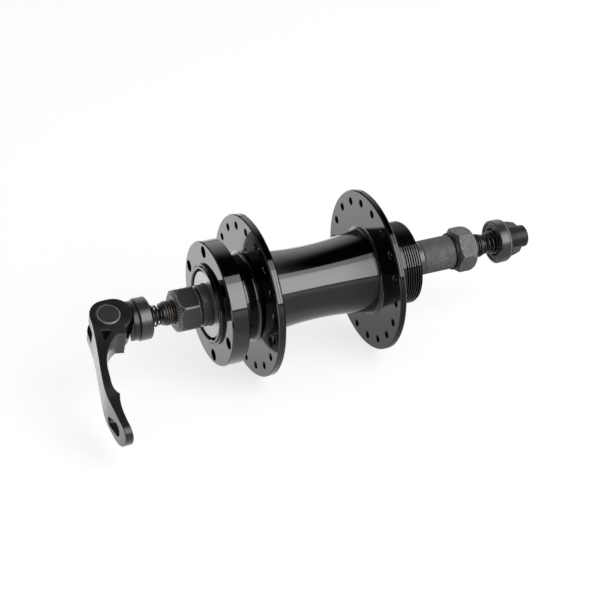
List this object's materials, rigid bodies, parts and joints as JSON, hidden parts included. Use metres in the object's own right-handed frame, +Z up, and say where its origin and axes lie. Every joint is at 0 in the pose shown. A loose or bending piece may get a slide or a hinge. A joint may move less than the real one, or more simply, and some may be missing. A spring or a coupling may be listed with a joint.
{
  "type": "rear disc hub",
  "caption": "Rear bicycle disc hub with a bolt-on rotor boss, spoke flanges, freewheel thread, loose ball bearings and a quick release skewer with a cam lever.",
  "frame": {"origin": "on the axle's axis, halfway between the outer faces of the two locknuts", "axes": "+Y along the axle towards the freewheel side, +Z up when the wheel stands in the bicycle, +X forward or back by choice"},
  "size_m": [0.0873, 0.2017, 0.0676],
  "materials": {
    "axle_steel": "satin",
    "cone_black_steel": "satin",
    "locknut_black_steel": "satin",
    "locknut_grey_steel": "matte",
    "washer_steel": "satin",
    "washer_dark_steel": "satin",
    "spacer_steel": "satin",
    "shell_black_anodised": "gloss",
    "bearing_steel": "satin",
    "dust_cap_plated": "satin",
    "dust_cap_dark": "satin",
    "ball_steel": "polished",
    "skewer_steel": "satin",
    "pivot_steel": "satin",
    "spring_black_steel": "satin",
    "lever_black_alloy": "satin",
    "cup_dark_alloy": "satin",
    "seat_black_plastic": "matte",
    "washer_bright": "gloss",
    "nut_dark_casting": "satin",
    "locking_ring_nylon": "matte"
  },
  "bodies": {
    "axle_set": {"axle": "axle_steel", "cone_left": "cone_black_steel", "lock_washer_left": "washer_steel", "locknut_left": "locknut_black_steel", "cone_right": "cone_black_steel", "spacer_right": "spacer_steel", "lock_washer_right": "washer_dark_steel", "locknut_right": "locknut_grey_steel"},
    "shell": {"hub_shell": "shell_black_anodised", "bearing_cup_left": "bearing_steel", "bearing_cup_right": "bearing_steel", "dust_cap_left": "dust_cap_plated", "dust_cap_right": "dust_cap_dark"},
    "balls_left": {"balls_left": "ball_steel"},
    "balls_right": {"balls_right": "ball_steel"},
    "skewer": {"skewer_rod": "skewer_steel", "pivot_barrel": "pivot_steel", "spring_left": "spring_black_steel", "spring_right": "spring_black_steel"},
    "lever": {"quick_release_lever": "lever_black_alloy"},
    "lever_cup": {"lever_cup": "cup_dark_alloy", "lever_cup_collar": "cup_dark_alloy", "cam_seat": "seat_black_plastic"},
    "nut_cup": {"nut_cup": "cup_dark_alloy", "nut_washer": "washer_bright"},
    "adjusting_nut": {"adjusting_nut": "nut_dark_casting", "nut_locking_ring": "locking_ring_nylon"}
  },
  "joints": [
    {"name": "hub_spin", "type": "hinge", "parent": "axle_set", "child": "shell", "pos_m": [0, 0, 0], "axis": [0, 1, 0], "continuous": true},
    {"name": "balls_left_orbit", "type": "hinge", "parent": "axle_set", "child": "balls_left", "pos_m": [0, 0, 0], "axis": [0, 1, 0], "continuous": true},
    {"name": "balls_right_orbit", "type": "hinge", "parent": "axle_set", "child": "balls_right", "pos_m": [0, 0, 0], "axis": [0, 1, 0], "continuous": true},
    {"name": "skewer_turn", "type": "hinge", "parent": "axle_set", "child": "skewer", "pos_m": [0, 0, 0], "axis": [0, 1, 0], "continuous": true},
    {"name": "lever_flip", "type": "hinge", "parent": "skewer", "child": "lever", "pos_m": [0, -0.095, 0], "axis": [-0.3827, 0, -0.9239], "range_deg": [0, 150]},
    {"name": "cup_slide", "type": "slide", "parent": "skewer", "child": "lever_cup", "axis": [0, -1, 0], "range_m": [0, 0.0016], "deforming": ["spring_left"]},
    {"name": "nut_travel", "type": "slide", "parent": "skewer", "child": "nut_cup", "axis": [0, 1, 0], "range_m": [-0.0024, 0.004], "deforming": ["spring_right"]},
    {"name": "nut_turn", "type": "hinge", "parent": "nut_cup", "child": "adjusting_nut", "pos_m": [0, 0.0785, 0], "axis": [0, 1, 0], "range_deg": [-1080, 1800]}
  ],
  "couplings": [
    {"joint": "balls_left_orbit", "follows": "hub_spin", "ratio": 0.6122},
    {"joint": "balls_right_orbit", "follows": "hub_spin", "ratio": 0.6122},
    {"joint": "cup_slide", "follows": "lever_flip", "m_per_rad": 0.000611},
    {"joint": "nut_travel", "follows": "nut_turn", "m_per_rad": 0.0001273}
  ]
}
